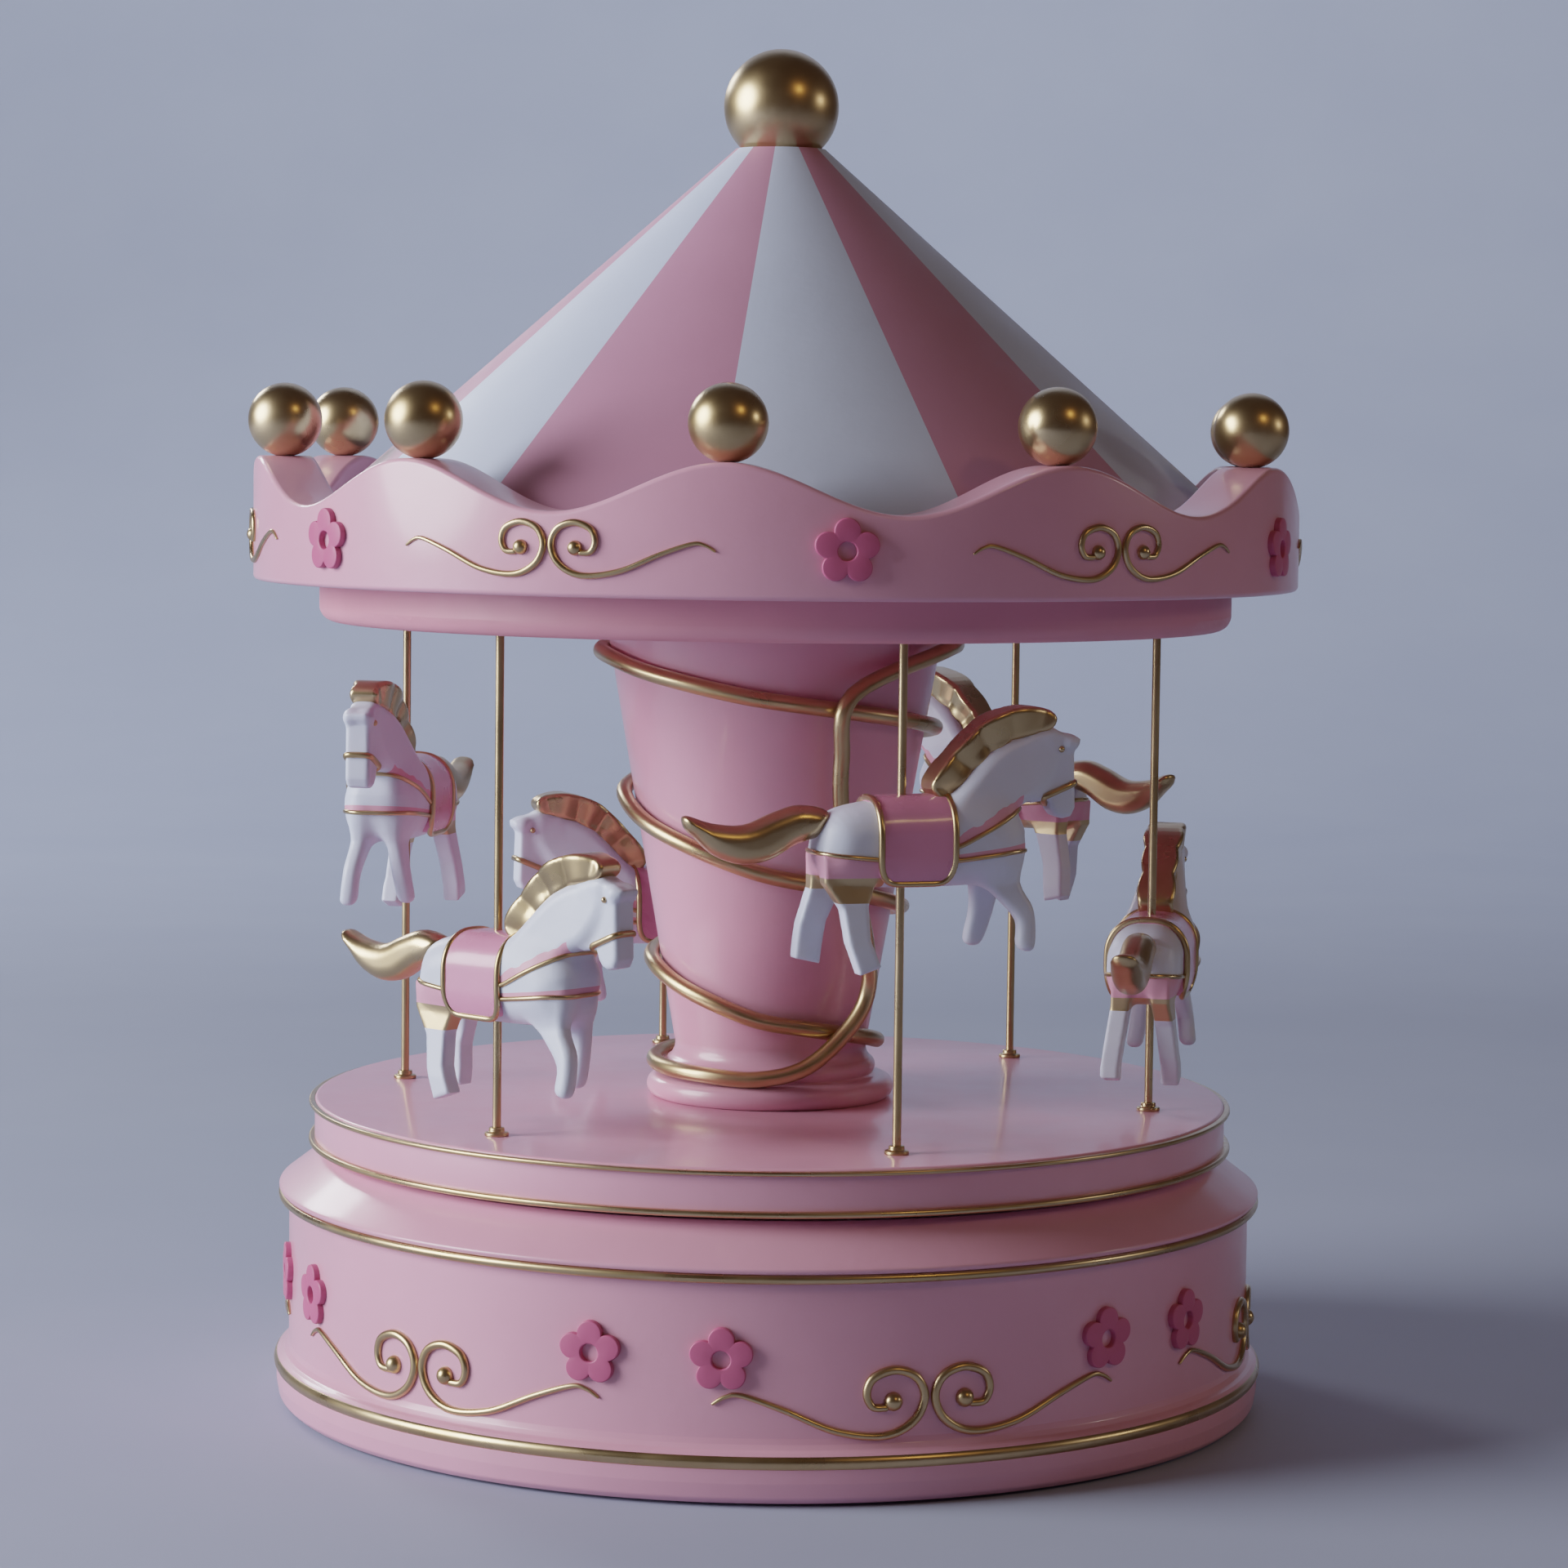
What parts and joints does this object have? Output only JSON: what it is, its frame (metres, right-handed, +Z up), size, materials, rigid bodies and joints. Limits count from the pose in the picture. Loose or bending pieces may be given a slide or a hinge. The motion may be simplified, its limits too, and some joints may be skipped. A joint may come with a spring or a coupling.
{
  "type": "carousel music box",
  "caption": "Clockwork carousel music box: turning striped canopy and stage on a round base, with rising horses on poles.",
  "frame": {"origin": "centre of the footprint, on the surface the box stands on", "axes": "+Z up along the spindle, front towards -Y"},
  "size_m": [0.1556, 0.1554, 0.1996],
  "materials": {
    "pink_shell": "satin blush pink moulding",
    "gold_trim": "satin champagne gold",
    "rose_plastic": "satin deep rose",
    "striped_roof": "satin, alternating dusty rose and cool white gores",
    "white_plastic": "satin pearl white",
    "saddle_pink": "gloss pink with gold piping",
    "plain_plastic": "plain moulded",
    "movement_brass": "machined",
    "movement_steel": "plain",
    "cast_zinc": "die cast",
    "felt": "felt"
  },
  "bodies": {
    "base": {"base_shell": "pink_shell", "base_plate": "plain_plastic", "base_plate_screws": "movement_steel", "foot_pad": "felt", "foot_trim_ring": "gold_trim", "shoulder_trim_ring": "gold_trim", "base_scrolls": "gold_trim", "base_flowers": "rose_plastic", "cam_track": "white_plastic", "bearing_bridge": "plain_plastic", "spindle_bush": "movement_brass", "movement_bedplate": "cast_zinc", "music_comb": "movement_steel", "movement_screws": "movement_steel", "cylinder_brackets": "movement_brass", "governor_frame": "movement_brass"},
    "carousel": {"stage_platform": "pink_shell", "stage_trim_rings": "gold_trim", "centre_column": "pink_shell", "column_vine": "gold_trim", "canopy_ceiling": "pink_shell", "pole_bushes": "gold_trim", "crown_rim": "pink_shell", "crown_balls": "gold_trim", "crown_flowers": "rose_plastic", "crown_scrolls": "gold_trim", "roof_cone": "striped_roof", "finial_ball": "gold_trim", "tie_rod": "movement_steel", "spring_barrel": "cast_zinc", "mainspring": "movement_steel"},
    "pin_cylinder": {"pin_cylinder": "movement_brass"},
    "governor_fly": {"governor_fly": "movement_steel"},
    "winding_key": {"winding_key": "plain_plastic", "winding_arbor": "movement_steel"},
    "horse_1": {"pole_1": "gold_trim", "horse_1": "white_plastic", "saddle_1": "saddle_pink", "mane_tail_1": "gold_trim"},
    "horse_2": {"pole_2": "gold_trim", "horse_2": "white_plastic", "saddle_2": "saddle_pink", "mane_tail_2": "gold_trim"},
    "horse_3": {"pole_3": "gold_trim", "horse_3": "white_plastic", "saddle_3": "saddle_pink", "mane_tail_3": "gold_trim"},
    "horse_4": {"pole_4": "gold_trim", "horse_4": "white_plastic", "saddle_4": "saddle_pink", "mane_tail_4": "gold_trim"},
    "horse_5": {"pole_5": "gold_trim", "horse_5": "white_plastic", "saddle_5": "saddle_pink", "mane_tail_5": "gold_trim"},
    "horse_6": {"pole_6": "gold_trim", "horse_6": "white_plastic", "saddle_6": "saddle_pink", "mane_tail_6": "gold_trim"}
  },
  "joints": [
    {"name": "carousel_spin", "type": "hinge", "parent": "base", "child": "carousel", "pos_m": [0, 0, 0.0383], "axis": [0, 0, 1], "continuous": true},
    {"name": "winding", "type": "hinge", "parent": "base", "child": "winding_key", "pos_m": [0, 0, 0.004], "axis": [0, 0, 1], "range_deg": [0, 1170]},
    {"name": "pin_cylinder_spin", "type": "hinge", "parent": "base", "child": "pin_cylinder", "pos_m": [0.0271, 0, 0.01922], "axis": [1, 0, 0], "continuous": true},
    {"name": "governor_spin", "type": "hinge", "parent": "base", "child": "governor_fly", "pos_m": [0.0368, 0.0063, 0.024], "axis": [0, 0, 1], "continuous": true},
    {"name": "horse_1_rise", "type": "slide", "parent": "carousel", "child": "horse_1", "axis": [0, 0, 1], "range_m": [-0.0205, 0]},
    {"name": "horse_2_rise", "type": "slide", "parent": "carousel", "child": "horse_2", "axis": [0, 0, 1], "range_m": [0, 0.0205]},
    {"name": "horse_3_rise", "type": "slide", "parent": "carousel", "child": "horse_3", "axis": [0, 0, 1], "range_m": [-0.0205, 0]},
    {"name": "horse_4_rise", "type": "slide", "parent": "carousel", "child": "horse_4", "axis": [0, 0, 1], "range_m": [0, 0.0205]},
    {"name": "horse_5_rise", "type": "slide", "parent": "carousel", "child": "horse_5", "axis": [0, 0, 1], "range_m": [-0.0205, 0]},
    {"name": "horse_6_rise", "type": "slide", "parent": "carousel", "child": "horse_6", "axis": [0, 0, 1], "range_m": [0, 0.0205]}
  ],
  "couplings": [
    {"joint": "pin_cylinder_spin", "follows": "carousel_spin", "ratio": 3},
    {"joint": "governor_spin", "follows": "carousel_spin", "ratio": -60},
    {"joint": "horse_2_rise", "follows": "horse_1_rise", "ratio": -1},
    {"joint": "horse_3_rise", "follows": "horse_1_rise", "ratio": 1},
    {"joint": "horse_4_rise", "follows": "horse_1_rise", "ratio": -1},
    {"joint": "horse_5_rise", "follows": "horse_1_rise", "ratio": 1},
    {"joint": "horse_6_rise", "follows": "horse_1_rise", "ratio": -1}
  ]
}
